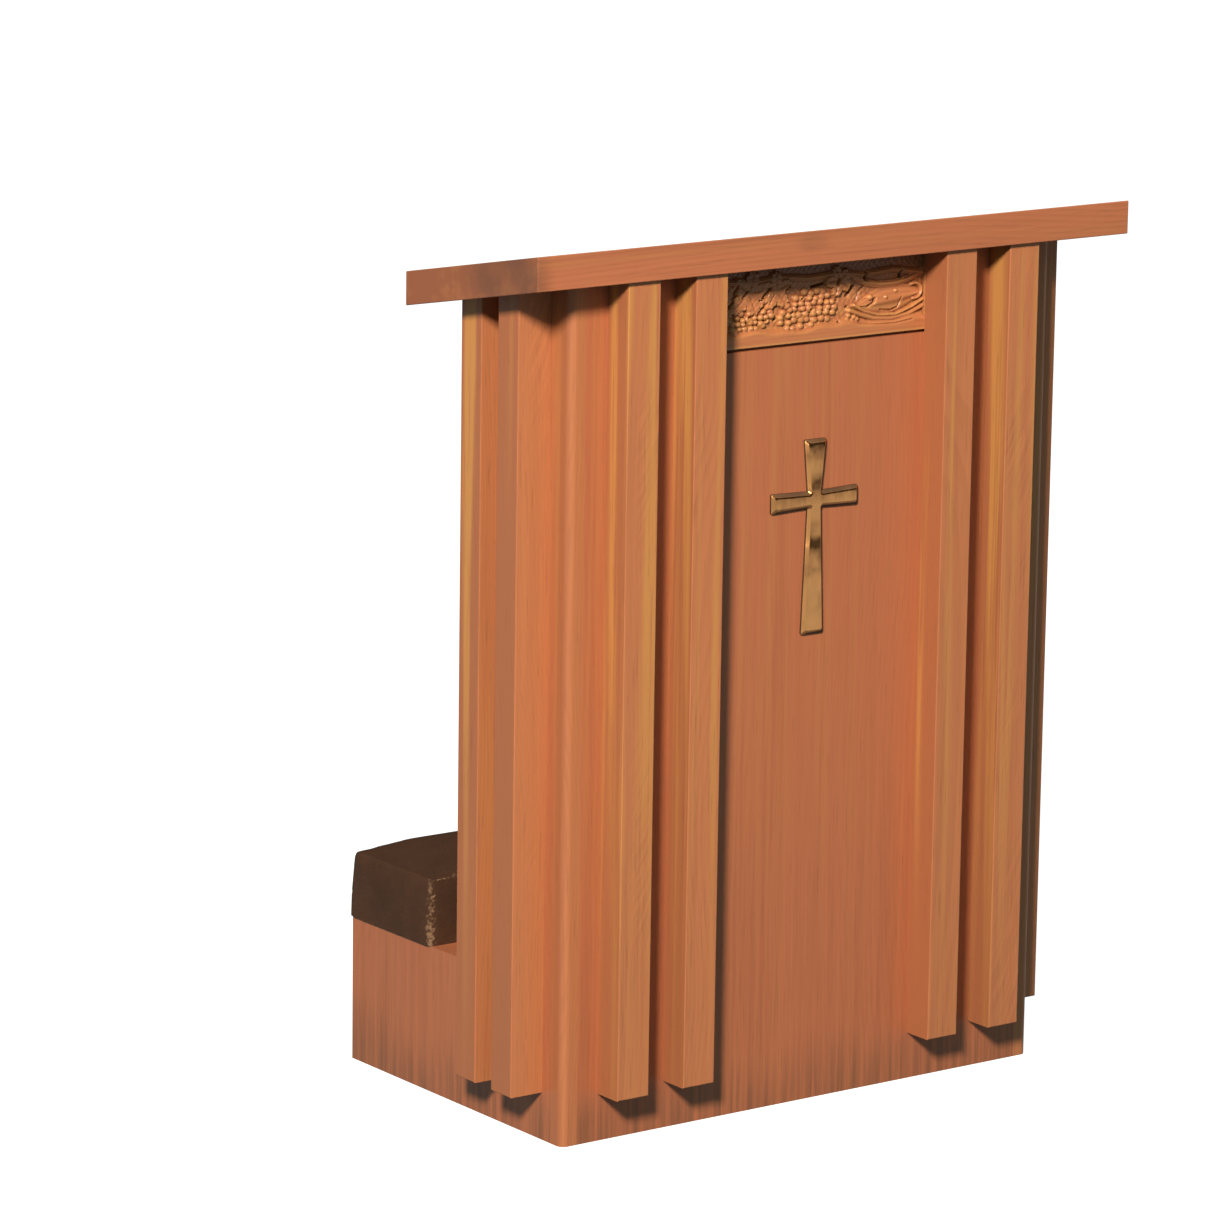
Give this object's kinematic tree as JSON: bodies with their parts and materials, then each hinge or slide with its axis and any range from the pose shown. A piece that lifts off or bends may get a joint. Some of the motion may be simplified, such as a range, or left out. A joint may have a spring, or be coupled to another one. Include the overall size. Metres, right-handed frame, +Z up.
{
  "type": "kneeling desk",
  "caption": "Wooden prie-dieu: shallow upright cabinet with square battens, carved frieze, brass cross and sloped book board, and a low kneeler box with a padded top.",
  "frame": {"origin": "floor level, at the centre of the bounding box", "axes": "+Z up; -Y is the front, with the cross; +Y is the kneeler side; +X is to the right seen from the front"},
  "size_m": [0.75, 0.422, 0.9177],
  "materials": {
    "oak_panel": "satin stained veneer",
    "oak_batten": "satin stained solid wood",
    "oak_board": "satin stained solid wood",
    "oak_carved": "carved, stained and wiped",
    "inner_wood": "unstained",
    "leather": "grained, lightly worn",
    "brass": "polished",
    "steel": "zinc plated"
  },
  "bodies": {
    "root": {"book_shelf": "oak_panel", "brass_cross": "brass", "carved_frieze": "oak_carved", "corner_blocks": "inner_wood", "corner_post_left": "oak_batten", "corner_post_right": "oak_batten", "cross_nuts": "steel", "cross_studs": "steel", "cross_washers": "steel", "desk_board": "oak_board", "desk_board_screws": "steel", "desk_cleat_front": "inner_wood", "desk_cleat_left": "inner_wood", "desk_cleat_right": "inner_wood", "desk_cleat_screws": "steel", "front_batten_1": "oak_batten", "front_batten_2": "oak_batten", "front_batten_3": "oak_batten", "front_batten_4": "oak_batten", "front_batten_screws": "steel", "front_panel": "oak_panel", "kneeler_back_panel": "oak_panel", "kneeler_cleat_back": "inner_wood", "kneeler_cleat_front": "inner_wood", "kneeler_cleat_left": "inner_wood", "kneeler_cleat_right": "inner_wood", "kneeler_cleat_screws": "steel", "kneeler_pad": "leather", "kneeler_top": "oak_panel", "pad_base": "inner_wood", "pad_screws": "steel", "shelf_cleat_left": "inner_wood", "shelf_cleat_right": "inner_wood", "shelf_cleat_screws": "steel", "side_batten_left_back": "oak_batten", "side_batten_left_front": "oak_batten", "side_batten_right_back": "oak_batten", "side_batten_right_front": "oak_batten", "side_batten_screws": "steel", "side_panel_left": "oak_panel", "side_panel_right": "oak_panel"}
  },
  "joints": []
}
